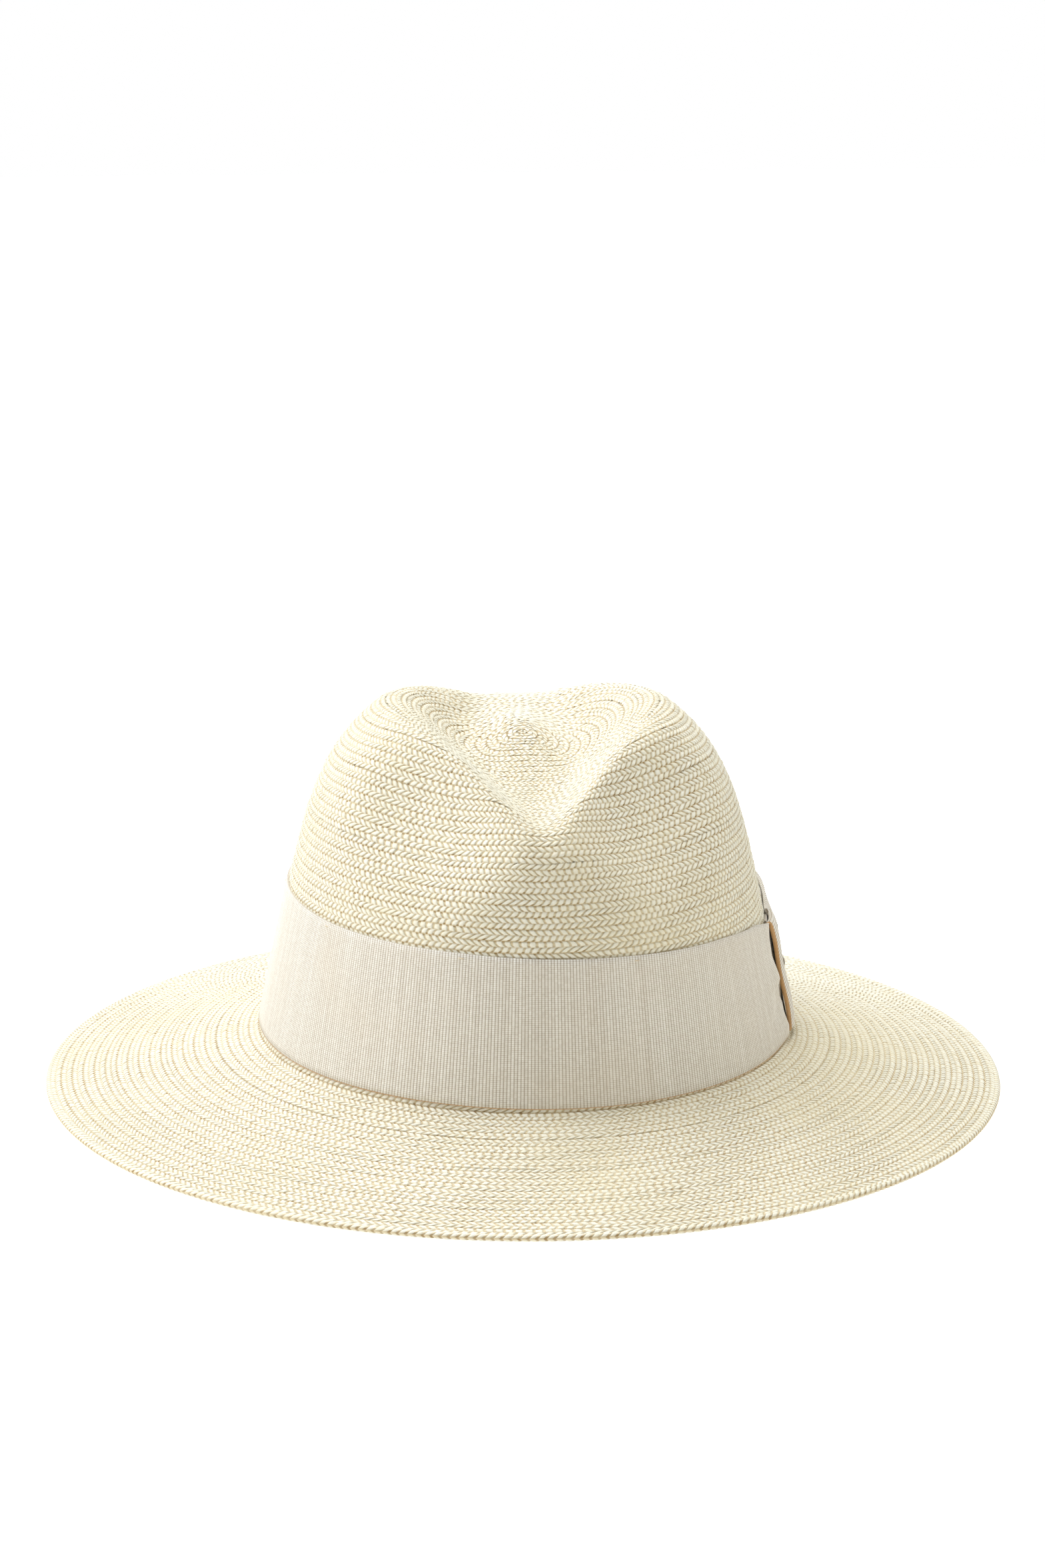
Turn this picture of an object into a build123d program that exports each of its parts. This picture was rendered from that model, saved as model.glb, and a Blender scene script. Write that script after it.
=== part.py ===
from build123d import *
import math
import os

# A teardrop-crown straw hat, in millimetres.  +Z is up, the front of the hat faces -Y and the
# wearer's left is +X.  The origin is the middle of the brim's rim, on the surface the hat rests on.
# The crown is one oval wall that leans in and rounds over; a long dent sinks into its top, and
# a wide pinch presses in each cheek beside the front of that dent.

# ---- head oval and brim ----
head_width = 169.2            # inside the sweatband, ear to ear
head_length = 197.2           # inside the sweatband, forehead to nape
brim_width = 71.0             # from the crown wall out to the rim, seen from above
break_height = 18.0           # top of the brim where it meets the crown, above the rest surface
brim_sag = 0.8                # how far the middle of the brim hangs below a straight line
straw_thickness = 1.1         # one layer of woven straw
rim_thickness = 2.5           # the rim, where the straws are woven back into a braid
rest_flat = 0.15              # how much of the braid is pressed flat where the hat rests

# ---- crown ----
crown_height = 122.8          # of the undented crown, above the break
side_lean = 0.00233           # the wall leans in by this share of its size for each mm of height
front_lean = 0.0009
back_lean = 0.00125
side_roundness = 6.8          # exponent of the shoulder: a higher one is squarer
back_roundness = 3.4
crown_slice_count = 20        # sections the crown is built from, closer together near its top
crown_slice_step = 4.2        # degrees of the shoulder's turn from one section to the next

# ---- teardrop dent in the top ----
dent_depth = 29.3             # of its floor's widest part, below the top of the undented crown
dent_floor_slope = 0.1        # rise of the floor towards the back, for each mm
dent_wall_slope = 0.95        # rise of the dent's side walls for each mm outwards
dent_half_width = 19.3        # of the flat floor, at its widest
dent_middle_y = 10.0          # where the floor is widest
dent_taper = 67.0             # how quickly the floor narrows towards the front and back
dent_softness = 4.0           # rounding where floor meets wall
dent_back_y = 61.0            # where the back wall starts to rise
dent_back_slope = 0.95
mound_height = 6.5            # the low mound that is left standing in the middle of the dent
mound_half_width = 11.0
mound_half_length = 28.0
mound_y = 5.0

# ---- finger pinches ----
pinch_radius = 150.0          # of the wide ball that presses each cheek in
pinch_depth = 10.0
pinch_angle = 38.0            # from the front, round to each side
pinch_tilt = 32.0             # how far the pinched cheek faces up
pinch_drop = 32.8             # below the top of the undented crown

# ---- sweatband ----
sweatband_thickness = 1.0
sweatband_width = 32.0
sweatband_clearance = 0.3     # between the leather and the straw
sweatband_gap = 0.6           # between its two ends, at the back
stitch_diameter = 0.5
stitch_length = 2.6
stitch_count = 140
stitch_height = 2.5           # of the seam above the sweatband's lower edge
stitch_clearance = 0.02
back_bow_width = 22.0         # the small bow over the sweatband's join
back_bow_height = 8.0
back_bow_thickness = 2.0
back_bow_pinch = 4.0

# ---- ribbon and bow ----
ribbon_width = 48.0
ribbon_thickness = 0.6
ribbon_clearance = 0.15       # between the ribbon and the straw
ribbon_bottom = 2.0           # above the break
layer_clearance = 0.1         # between layers of ribbon
knot_front_y = -24.0
knot_width = 16.0
knot_thickness = 3.4
knot_drop = 1.0               # of its lower end, below the ribbon's lower edge
knot_height = 42.0
wing_length = 40.0
wing_thickness = 2.8
wing_height = 42.0
wing_rise = 2.0               # of its lower edge, above the ribbon's
tack_count = 7
tack_length = 2.4
tack_diameter = 0.4
tack_inset = 1.5              # from the ribbon's upper edge

# ---- sizes worked out from those above ----
wall_outer_a = head_width / 2 + sweatband_thickness + sweatband_clearance + straw_thickness
wall_outer_b = head_length / 2 + sweatband_thickness + sweatband_clearance + straw_thickness
brim_slope = math.atan2(break_height - rim_thickness, brim_width)
brim_drop = straw_thickness / math.cos(brim_slope)
wall_bottom = break_height - brim_drop
sweatband_inset = straw_thickness + sweatband_clearance
ribbon_outset = ribbon_clearance + ribbon_thickness
ribbon_top = ribbon_bottom + ribbon_width
dent_floor = crown_height - dent_depth
pinch_height = crown_height - pinch_drop
crown_heights = [crown_height * math.sin(math.radians(crown_slice_step * i)) for i in range(crown_slice_count)]


def shoulder(height, outset, lean, roundness):
    """Share of the crown's size at the break that is left at this height."""
    full_height = crown_height + outset
    rounding = max(0.0, 1.0 - (max(height, 0.0) / full_height) ** roundness)
    return (1.0 - lean * height) * math.sqrt(rounding)


def crown_oval(height, outset):
    """Half width, half length and middle of the crown's section, outset from the straw's outside."""
    half_width = (wall_outer_a + outset) * shoulder(height, outset, side_lean, side_roundness)
    front = (wall_outer_b + outset) * shoulder(height, outset, front_lean, side_roundness)
    back = (wall_outer_b + outset) * shoulder(height, outset, back_lean, back_roundness)
    return half_width, (front + back) / 2, (back - front) / 2


def crown_slices(outset, heights):
    """Sketches of the crown's sections, for a loft, at these heights above the break."""
    slices = []
    for height in heights:
        half_width, half_length, middle = crown_oval(height, outset)
        with BuildSketch(Plane.XY.offset(break_height + height)) as crown_slice:
            with Locations((0, middle)):
                Ellipse(half_width, half_length)
        slices.append(crown_slice.sketch)
    return slices


def soft_ramp(distance, softness):
    """Zero for negative distances and straight for positive ones, with a round corner."""
    return (distance + math.hypot(distance, softness)) / 2


def dent_height(x, y):
    """Height of the dent's surface above the break, at a point of the plan."""
    floor_half = dent_half_width * math.exp(-((y - dent_middle_y) / dent_taper) ** 2)
    walls = dent_wall_slope * soft_ramp(math.hypot(x, dent_softness) - floor_half, dent_softness)
    back = dent_back_slope * soft_ramp(y - dent_back_y, dent_softness)
    mound = mound_height * math.exp(-(x / mound_half_width) ** 2 - ((y - mound_y) / mound_half_length) ** 2)
    floor = dent_floor + dent_floor_slope * (y - dent_middle_y)
    return floor + walls + back + mound


def dent_surface(depth):
    """The dent as one smooth face, moved in by depth along its normal."""
    step = 6.0
    reach_x = math.ceil(wall_outer_a / step) + 1
    reach_y = math.ceil(wall_outer_b / step) + 1
    rows = []
    for i in range(-reach_x, reach_x + 1):
        row = []
        for j in range(-reach_y, reach_y + 1):
            x = i * step
            y = j * step
            slope_x = dent_height(x + 0.5, y) - dent_height(x - 0.5, y)
            slope_y = dent_height(x, y + 0.5) - dent_height(x, y - 0.5)
            steepness = math.sqrt(1 + slope_x ** 2 + slope_y ** 2)
            row.append(Vector(x, y, break_height + dent_height(x, y) - depth * steepness))
        rows.append(row)
    return Face.make_surface_from_array_of_points(rows, tol=0.02)


def dent_block(depth):
    """Everything below the dent's surface, down past the rest surface."""
    corner_height = break_height + dent_height(wall_outer_a, wall_outer_b)
    return Solid.extrude(dent_surface(depth), Vector(0, 0, -corner_height))


def pinch_middle(side):
    """Middle of the ball that presses one finger pinch into the crown."""
    half_width, half_length, middle = crown_oval(pinch_height, 0)
    angle = math.radians(pinch_angle)
    x = half_width * math.sin(angle)
    y = middle - half_length * math.cos(angle)
    tilt = math.radians(pinch_tilt)
    outward = Vector(math.sin(angle) * math.cos(tilt), -math.cos(angle) * math.cos(tilt), math.sin(tilt))
    spot = Vector(x, y, break_height + pinch_height) + outward * (pinch_radius - pinch_depth)
    return (side * spot.X, spot.Y, spot.Z)


# ---- straw body: crown and brim are woven as one piece ----
with BuildPart() as hollow:
    with BuildSketch(Plane.XY.offset(-rim_thickness)):
        Ellipse(wall_outer_a - straw_thickness, wall_outer_b - straw_thickness)
    extrude(amount=break_height + rim_thickness)
    loft(crown_slices(-straw_thickness, crown_heights[:-1]), ruled=True)
    add(dent_block(straw_thickness), mode=Mode.INTERSECT)
    with Locations(pinch_middle(1), pinch_middle(-1)):
        Sphere(pinch_radius + straw_thickness, mode=Mode.SUBTRACT)

with BuildPart() as straw_body:
    with BuildSketch(Plane.XY.offset(wall_bottom)):
        Ellipse(wall_outer_a, wall_outer_b)
    extrude(amount=brim_drop)
    loft(crown_slices(0, crown_heights), ruled=True)
    add(dent_block(0), mode=Mode.INTERSECT)
    with Locations(pinch_middle(1), pinch_middle(-1)):
        Sphere(pinch_radius, mode=Mode.SUBTRACT)
    with BuildLine() as break_line:
        EllipticalCenterArc((0, 0), wall_outer_a, wall_outer_b, start_angle=0, arc_size=360)
    rim_x = wall_outer_a + brim_width - rim_thickness / 2
    rim_z = rim_thickness / 2 - rest_flat
    with BuildSketch(Plane.XZ) as brim_profile:
        with BuildLine():
            inner_x = wall_outer_a - straw_thickness / 2
            top_start = (inner_x, break_height)
            top_middle = ((inner_x + rim_x) / 2, (break_height + rim_z) / 2 - brim_sag)
            top_end = (rim_x, rim_z + straw_thickness / 2)
            top = ThreePointArc(top_start, top_middle, top_end)
            Line(top_end, (rim_x, rim_z - straw_thickness / 2))
            under = ThreePointArc(
                (rim_x, rim_z - straw_thickness / 2),
                (top_middle[0], top_middle[1] - brim_drop),
                (inner_x, wall_bottom),
            )
            Line((inner_x, wall_bottom), top_start)
        make_face()
        with Locations((rim_x, rim_z)):
            Circle(rim_thickness / 2)
    sweep(path=break_line.line)
    add(hollow.part, mode=Mode.SUBTRACT)
    split(bisect_by=Plane.XY, keep=Keep.TOP)
straw_body.part.label = "straw_body"


def crown_layer(inner_outset, outer_outset, heights):
    """A band round the crown, between two outsets from the straw's outside."""
    with BuildPart() as layer:
        loft(crown_slices(outer_outset, heights), ruled=True)
        with BuildPart(mode=Mode.PRIVATE) as core:
            loft(crown_slices(inner_outset, heights), ruled=True)
        add(core.part, mode=Mode.SUBTRACT)
    return layer.part


def spread(low, high, count):
    """Evenly spaced heights, both ends included."""
    return [low + (high - low) * i / (count - 1) for i in range(count)]


def stitch_places(count, outset, height, start_angle, sweep_angle):
    """Places along the crown's oval, each with its X axis along the wall and Y up it."""
    places = []
    half_width, half_length, middle = crown_oval(height, outset)
    for i in range(count):
        angle = math.radians(start_angle + sweep_angle * i / count)
        along = Vector(-half_width * math.sin(angle), half_length * math.cos(angle), 0)
        spot = Vector(half_width * math.cos(angle), middle + half_length * math.sin(angle), break_height + height)
        out = along.cross(Vector(0, 0, 1))
        places.append(Plane(origin=spot, x_dir=along, z_dir=out).location)
    return places


# ---- sweatband: a leather strip inside the crown, open at the back where its ends meet ----
sweatband_heights = spread(0, sweatband_width, 5)
with BuildPart() as sweatband:
    add(crown_layer(-sweatband_inset - sweatband_thickness, -sweatband_inset, sweatband_heights))
    with Locations((0, wall_outer_b, break_height + sweatband_width / 2)):
        Box(sweatband_gap, wall_outer_b, sweatband_width * 2, mode=Mode.SUBTRACT)
sweatband.part.label = "sweatband"

# ---- the seam that holds the sweatband: running stitches round its lower edge ----
seam_inset = sweatband_inset + sweatband_thickness + stitch_diameter / 2 + stitch_clearance
with BuildPart() as sweatband_stitching:
    with Locations(stitch_places(stitch_count, -seam_inset - stitch_clearance, stitch_height, 0, 360)):
        Cylinder(stitch_diameter / 2, stitch_length, rotation=(0, 90, 0))
sweatband_stitching.part.label = "sweatband_stitching"

# ---- the small bow over the sweatband's join: two loops and a knot ----
bow_inset = sweatband_inset + sweatband_thickness + back_bow_thickness / 2 + layer_clearance
bow_z = break_height + sweatband_width / 3
bow_half_width, bow_half_length, bow_middle = crown_oval(sweatband_width / 3 + back_bow_height, -bow_inset)
bow_edge_drop = bow_half_length * (1 - math.sqrt(1 - (back_bow_width / 2 / bow_half_width) ** 2))
bow_y = bow_middle + bow_half_length - bow_edge_drop
with BuildPart() as sweatband_bow:
    with BuildSketch(Plane.XZ.offset(-bow_y - back_bow_thickness / 2)):
        with Locations((0, bow_z)):
            with BuildLine():
                right_top = (back_bow_width / 2, back_bow_height / 2)
                right_low = (back_bow_width / 2, -back_bow_height / 2)
                waist = (0, back_bow_pinch / 2)
                FilletPolyline(
                    (0, waist[1] + bow_z),
                    (right_top[0], right_top[1] + bow_z),
                    (right_low[0], right_low[1] + bow_z),
                    (0, bow_z - waist[1]),
                    (-right_low[0], right_low[1] + bow_z),
                    (-right_top[0], right_top[1] + bow_z),
                    radius=back_bow_pinch / 4,
                    close=True,
                )
            make_face()
    extrude(amount=back_bow_thickness)
sweatband_bow.part.label = "sweatband_bow"

# ---- the ribbon round the crown ----
with BuildPart() as hat_band:
    add(crown_layer(ribbon_clearance, ribbon_outset, spread(ribbon_bottom, ribbon_top, 8)))
hat_band.part.label = "hat_band"

# ---- the bow on the wearer's left: a knot, and a folded loop that lies back along the ribbon ----
bow_inner = ribbon_outset + layer_clearance
knot_bottom = ribbon_bottom - knot_drop
knot_top = knot_bottom + knot_height
with BuildPart() as bow_knot:
    add(crown_layer(bow_inner, bow_inner + knot_thickness, spread(knot_bottom, knot_top, 8)))
    knot_middle_y = knot_front_y + knot_width / 2
    with Locations((wall_outer_a, knot_middle_y, break_height + ribbon_top / 2)):
        Box(wall_outer_a, knot_width, ribbon_width * 2, mode=Mode.INTERSECT)
bow_knot.part.label = "bow_knot"

wing_bottom = ribbon_bottom + wing_rise
wing_top = wing_bottom + wing_height
with BuildPart() as bow_wing:
    add(crown_layer(bow_inner, bow_inner + wing_thickness, spread(wing_bottom, wing_top, 8)))
    wing_middle_y = knot_front_y + knot_width + layer_clearance + wing_length / 2
    with Locations((wall_outer_a, wing_middle_y, break_height + ribbon_top / 2)):
        Box(wall_outer_a, wing_length, ribbon_width * 2, mode=Mode.INTERSECT)
bow_wing.part.label = "bow_wing"

# ---- tack stitches that hold the ribbon's upper edge to the straw ----
tack_outset = ribbon_outset + tack_diameter / 2 + stitch_clearance
tack_height = ribbon_top - tack_inset
with BuildPart() as band_tacks:
    with Locations(stitch_places(tack_count, tack_outset, tack_height, 60, 290)):
        Cylinder(tack_diameter / 2, tack_length, rotation=(0, 90, 0))
band_tacks.part.label = "band_tacks"

os.makedirs("parts", exist_ok=True)
export_step(straw_body.part, "parts/straw_body.step")
export_step(sweatband.part, "parts/sweatband.step")
export_step(sweatband_stitching.part, "parts/sweatband_stitching.step")
export_step(sweatband_bow.part, "parts/sweatband_bow.step")
export_step(hat_band.part, "parts/hat_band.step")
export_step(bow_knot.part, "parts/bow_knot.step")
export_step(bow_wing.part, "parts/bow_wing.step")
export_step(band_tacks.part, "parts/band_tacks.step")
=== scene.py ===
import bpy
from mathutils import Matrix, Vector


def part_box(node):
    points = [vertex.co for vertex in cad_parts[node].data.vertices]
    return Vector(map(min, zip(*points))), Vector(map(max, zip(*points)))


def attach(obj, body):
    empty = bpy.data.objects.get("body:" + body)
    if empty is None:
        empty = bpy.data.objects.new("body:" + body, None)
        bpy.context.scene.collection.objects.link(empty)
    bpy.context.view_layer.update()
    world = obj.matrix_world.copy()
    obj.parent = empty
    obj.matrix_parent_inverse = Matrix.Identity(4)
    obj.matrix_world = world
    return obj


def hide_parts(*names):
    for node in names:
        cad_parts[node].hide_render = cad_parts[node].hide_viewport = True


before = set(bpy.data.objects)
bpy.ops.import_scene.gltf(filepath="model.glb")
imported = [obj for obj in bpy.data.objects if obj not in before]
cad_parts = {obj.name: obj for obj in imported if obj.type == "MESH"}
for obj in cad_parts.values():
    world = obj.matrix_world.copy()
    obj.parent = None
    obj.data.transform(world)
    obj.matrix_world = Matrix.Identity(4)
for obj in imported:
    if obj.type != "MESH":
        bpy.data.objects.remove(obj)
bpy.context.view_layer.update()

import math
import bpy
import numpy as np
from mathutils import Vector

# A straw hat with a dented crown, a ribbon and a bow.  Metres, the front of the hat towards -Y.
# A "level" is a distance along the straw from the break, where brim meets crown: positive up the
# crown, negative out over the brim.  A "turn" runs from 0 to 1 round the hat, from the side with
# the bow.  "Rows" are the rings of weave, counted from the break.

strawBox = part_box("straw_body")
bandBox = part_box("hat_band")
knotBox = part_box("bow_knot")
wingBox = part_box("bow_wing")

hatShape = {
    "brimWidth": 0.071,
    "ribbonAboveBreak": 0.002,
    "brimSag": 0.0008,
    "rimThickness": 0.0025,
    "breakSoftness": 0.0012,   # rounding where the brim turns up into the crown
    "strawThickness": 0.0011,
    "crownHeight": 0.1228,     # of the crown before it is dented
    "sideLean": 2.33,          # share of its size that the wall loses for each metre of height
    "frontLean": 0.9,
    "backLean": 1.25,
    "sideRoundness": 6.8,
    "backRoundness": 3.4,
}

dentShape = {
    "floor": 0.0935,
    "floorSlope": 0.10,
    "wallSlope": 0.95,
    "halfWidth": 0.0193,
    "middleY": 0.010,
    "taper": 0.067,
    "softness": 0.004,
    "backY": 0.061,
    "backSlope": 0.95,
    "moundHeight": 0.0065,
    "moundHalfWidth": 0.011,
    "moundHalfLength": 0.028,
    "moundY": 0.005,
    "crestSoftness": 0.0138,   # rounding of the crest between dent and crown
    "onlyAbove": 0.04,         # the wall below this height has no dent
}

pinchShape = {
    "angle": 38.0,             # of the middle of each pinched cheek from the front
    "height": 0.090,
    "tilt": 32.0,              # how far the cheek faces up
    "depth": 0.0100,
    "acrossRadius": 0.150,     # hollowness across and up the cheek
    "upRadius": 0.150,
    "softness": 0.007,         # rounding of the cheek's edges
}

rimHalfX, rimHalfY = strawBox[1][0], strawBox[1][1]
wallA = rimHalfX - hatShape["brimWidth"]
wallB = rimHalfY - hatShape["brimWidth"]
breakZ = bandBox[0][2] - hatShape["ribbonAboveBreak"]
rimZ = hatShape["rimThickness"] / 2


def bell(distance, reach):
    return np.exp(-(distance / reach) ** 2)


def softRamp(distance, softness):
    return (distance + np.hypot(distance, softness)) / 2


def softMin(a, b, softness):
    near = np.clip(1 - np.abs(a - b) / softness, 0, None)
    return np.minimum(a, b) - near ** 2 * softness / 4


def shoulder(height, lean, roundness):
    share = np.clip(height, 0, None) / hatShape["crownHeight"]
    return (1 - lean * height) * np.sqrt(np.clip(1 - share ** roundness, 0, None))


def crownOval(height):
    front = wallB * shoulder(height, hatShape["frontLean"], hatShape["sideRoundness"])
    back = wallB * shoulder(height, hatShape["backLean"], hatShape["backRoundness"])
    halfWidth = wallA * shoulder(height, hatShape["sideLean"], hatShape["sideRoundness"])
    return halfWidth, (front + back) / 2, (back - front) / 2


# height above the break for each level of the crown before it is dented
meridianHeights = hatShape["crownHeight"] * np.sin(np.linspace(0, math.pi / 2, 900))
meridianSizes = sum(crownOval(meridianHeights)[:2]) / 2
meridianSteps = np.hypot(np.diff(meridianHeights), np.diff(meridianSizes))
meridianLevels = np.concatenate([[0], np.cumsum(meridianSteps)])
crownLength = float(meridianLevels[-1])

# angle on the oval for each turn
ovalAngles = np.linspace(0, 2 * math.pi, 1441)
ovalSteps = np.hypot(wallA * np.diff(np.cos(ovalAngles)), wallB * np.diff(np.sin(ovalAngles)))
ovalTurns = np.concatenate([[0], np.cumsum(ovalSteps)]) / ovalSteps.sum()
ovalLength = float(ovalSteps.sum())


def angleAt(turn):
    whole = np.floor(turn)
    return np.interp(turn - whole, ovalTurns, ovalAngles) + whole * 2 * math.pi


def outFromWall(angle):
    # horizontal direction straight out of the wall
    normalX, normalY = wallB * np.cos(angle), wallA * np.sin(angle)
    size = np.hypot(normalX, normalY)
    return normalX / size, normalY / size


def dentHeight(x, y):
    d = dentShape
    floorHalf = d["halfWidth"] * bell(y - d["middleY"], d["taper"])
    walls = d["wallSlope"] * softRamp(np.hypot(x, d["softness"]) - floorHalf, d["softness"])
    back = d["backSlope"] * softRamp(y - d["backY"], d["softness"])
    mound = d["moundHeight"] * np.exp(-(x / d["moundHalfWidth"]) ** 2
                                      - ((y - d["moundY"]) / d["moundHalfLength"]) ** 2)
    return d["floor"] + d["floorSlope"] * (y - d["middleY"]) + walls + back + mound


def pressPinch(points, side):
    p = pinchShape
    angle, tilt = math.radians(p["angle"]), math.radians(p["tilt"])
    a, b, middle = crownOval(p["height"])
    spot = np.array([side * a * math.sin(angle), middle - b * math.cos(angle), p["height"]])
    outward = np.array([side * math.sin(angle) * math.cos(tilt), -math.cos(angle) * math.cos(tilt),
                        math.sin(tilt)])
    sideways = np.array([math.cos(angle), side * math.sin(angle), 0])
    upward = np.cross(outward, sideways)
    away = points - spot
    out, across, up = away @ outward, away @ sideways, away @ upward
    limit = across ** 2 / (2 * p["acrossRadius"]) + up ** 2 / (2 * p["upRadius"]) - p["depth"]
    push = softMin(out, limit, p["softness"]) - out
    return points + push[..., None] * outward


def brimDrop(out):
    share = np.clip(out / hatShape["brimWidth"], 0, 1.1)
    fall = breakZ - rimZ - hatShape["strawThickness"] / 2
    return fall * share + hatShape["brimSag"] * 4 * share * (1 - share)


def strawPoint(level, turn):
    # the smooth outer side of the straw, for arrays of levels and turns
    level, turn = np.broadcast_arrays(level, turn)
    angle = angleAt(turn)
    up = softRamp(level, hatShape["breakSoftness"])
    out = softRamp(-level, hatShape["breakSoftness"])
    height = np.interp(up, meridianLevels, meridianHeights)
    a, b, middle = crownOval(height)
    normalX, normalY = outFromWall(angle)
    x = a * np.cos(angle) + normalX * out
    y = middle + b * np.sin(angle) + normalY * out
    dented = softMin(height, dentHeight(x, y), dentShape["crestSoftness"])
    height = np.where(height > dentShape["onlyAbove"], dented, height)
    points = np.stack([x, y, height], axis=-1)
    points = pressPinch(pressPinch(points, 1), -1)
    points[..., 2] += breakZ - brimDrop(out)
    return points


weave = {
    "strand": 0.00245,       # width of one straw along its row
    "row": 0.00183,          # height of one row
    "relief": 0.00042,       # how far a straw stands above the gaps beside it
    "slant": 0.62,           # how far a straw leans over within its row, in straws
    "wander": 0.35,          # how far straws stray sideways, in straws
    "uneven": 0.18,          # difference between the heights of straws
    "endHeight": 0.25,       # height of a straw's ends, as a share of its middle
    "calmRows": 9,           # rows over which the relief fades towards the crown's middle
    "evenFromLevel": 0.0494,  # above this level the rows share out the dented crown evenly
    "narrowest": 0.94,       # share of the wished number of straws at the start of a zone
    "widest": 1.07,          # and at its end
}

# level for each row and turn where the crown is dented
turnSteps, shareSteps = 360, 499
wholeTurn = np.linspace(0, 1, turnSteps + 1)
tableLevels = np.linspace(weave["evenFromLevel"], crownLength - 1e-6, 900)
tablePoints = strawPoint(tableLevels[:, None], wholeTurn[None, :])
tableSteps = np.linalg.norm(np.diff(tablePoints, axis=0), axis=-1)
tableLengths = np.concatenate([np.zeros((1, turnSteps + 1)), np.cumsum(tableSteps, axis=0)])
tableShares = np.linspace(0, 1, shareSteps + 1)
tableRows = np.stack([np.interp(tableShares * tableLengths[-1, k], tableLengths[:, k], tableLevels)
                      for k in range(turnSteps + 1)], axis=1)
firstEvenRow = round(weave["evenFromLevel"] / weave["row"])
lastRow = firstEvenRow + round(float(tableLengths[-1].mean()) / weave["row"])
rimRow = -round((hatShape["brimWidth"] - hatShape["rimThickness"] * 0.4) / weave["row"])


def levelAt(row, turn):
    row, turn = np.broadcast_arrays(row, turn)
    share = np.clip((row - firstEvenRow) / (lastRow - firstEvenRow), 0, 1)
    atShare, atTurn = share * shareSteps, (turn - np.floor(turn)) * turnSteps
    i = np.minimum(atShare.astype(int), shareSteps - 1)
    k = np.minimum(atTurn.astype(int), turnSteps - 1)
    partRow, partTurn = atShare - i, atTurn - k
    even = ((tableRows[i, k] * (1 - partRow) + tableRows[i + 1, k] * partRow) * (1 - partTurn)
            + (tableRows[i, k + 1] * (1 - partRow) + tableRows[i + 1, k + 1] * partRow) * partTurn)
    return np.where(row <= firstEvenRow, row * weave["evenFromLevel"] / firstEvenRow, even)


def gridNormals(points, closed=True):
    # first axis up, second axis along
    if closed:
        along = np.roll(points, -1, axis=1) - np.roll(points, 1, axis=1)
    else:
        along = np.gradient(points, axis=1)
    normals = np.cross(along, np.gradient(points, axis=0))
    return normals / np.maximum(np.linalg.norm(normals, axis=-1, keepdims=True), 1e-12)


def ringLength(row):
    turns = wholeTurn[:-1]
    ring = strawPoint(levelAt(np.array(row, float), turns), turns)
    return float(np.linalg.norm(ring - np.roll(ring, 1, axis=0), axis=1).sum())


def gridCells(grid):
    # the four corners of each face between the points of a grid
    return np.stack([grid[:-1, :-1], grid[:-1, 1:], grid[1:, 1:], grid[1:, :-1]], axis=2)


def faceMap(here, there, low, high):
    # map positions for the corners of each face, on a grid of faces
    return np.stack([np.stack([here, low], -1), np.stack([there, low], -1),
                     np.stack([there, high], -1), np.stack([here, high], -1)], axis=-2).reshape(-1, 4, 2)


def makePiece(name, verts, quads, quadMap=None, tris=None, triMap=None, material=None):
    # quads and tris hold vertex numbers; the maps hold a map position for each of their corners
    corners = quads.ravel()
    starts = np.arange(len(quads)) * 4
    mapped = quadMap
    if tris is not None and len(tris):
        starts = np.concatenate([starts, len(corners) + np.arange(len(tris)) * 3])
        corners = np.concatenate([corners, tris.ravel()])
        mapped = np.concatenate([quadMap.reshape(-1, 2), triMap.reshape(-1, 2)])
    used, corners = np.unique(corners, return_inverse=True)
    mesh = bpy.data.meshes.new(name)
    mesh.vertices.add(len(used))
    mesh.vertices.foreach_set("co", verts[used].astype(np.float32).ravel())
    mesh.loops.add(len(corners))
    mesh.loops.foreach_set("vertex_index", corners.astype(np.int32).ravel())
    mesh.polygons.add(len(starts))
    mesh.polygons.foreach_set("loop_start", starts.astype(np.int32))
    mesh.update(calc_edges=True)
    if mapped is not None:
        layer = mesh.uv_layers.new(name="maker")
        layer.data.foreach_set("uv", mapped.astype(np.float32).ravel())
    mesh.shade_smooth()
    piece = bpy.data.objects.new(name, mesh)
    bpy.context.scene.collection.objects.link(piece)
    if material:
        mesh.materials.append(material)
    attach(piece, "root")
    return piece


def weaveZones(firstRow, endRow):
    # runs of rows with one number of straws each, so that the straws keep their width
    zones = []
    start = firstRow
    count = None
    for row in range(firstRow, endRow):
        wished = max(5.0, ringLength(row + 0.5) / weave["strand"])
        if count is None:
            count = round(wished * weave["narrowest"])
        elif count > max(5.0, wished * weave["widest"]):
            zones.append((start, row, count))
            start = row
            count = max(5, round(wished * weave["narrowest"]))
    zones.append((start, endRow, count))
    return zones


def zigzag(row):
    # sideways run of the straws: they slant one way in one row and the other way in the next
    within = row - np.floor(row)
    return np.where(np.floor(row) % 2 == 0, within - 0.5, 0.5 - within) * weave["slant"]


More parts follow.
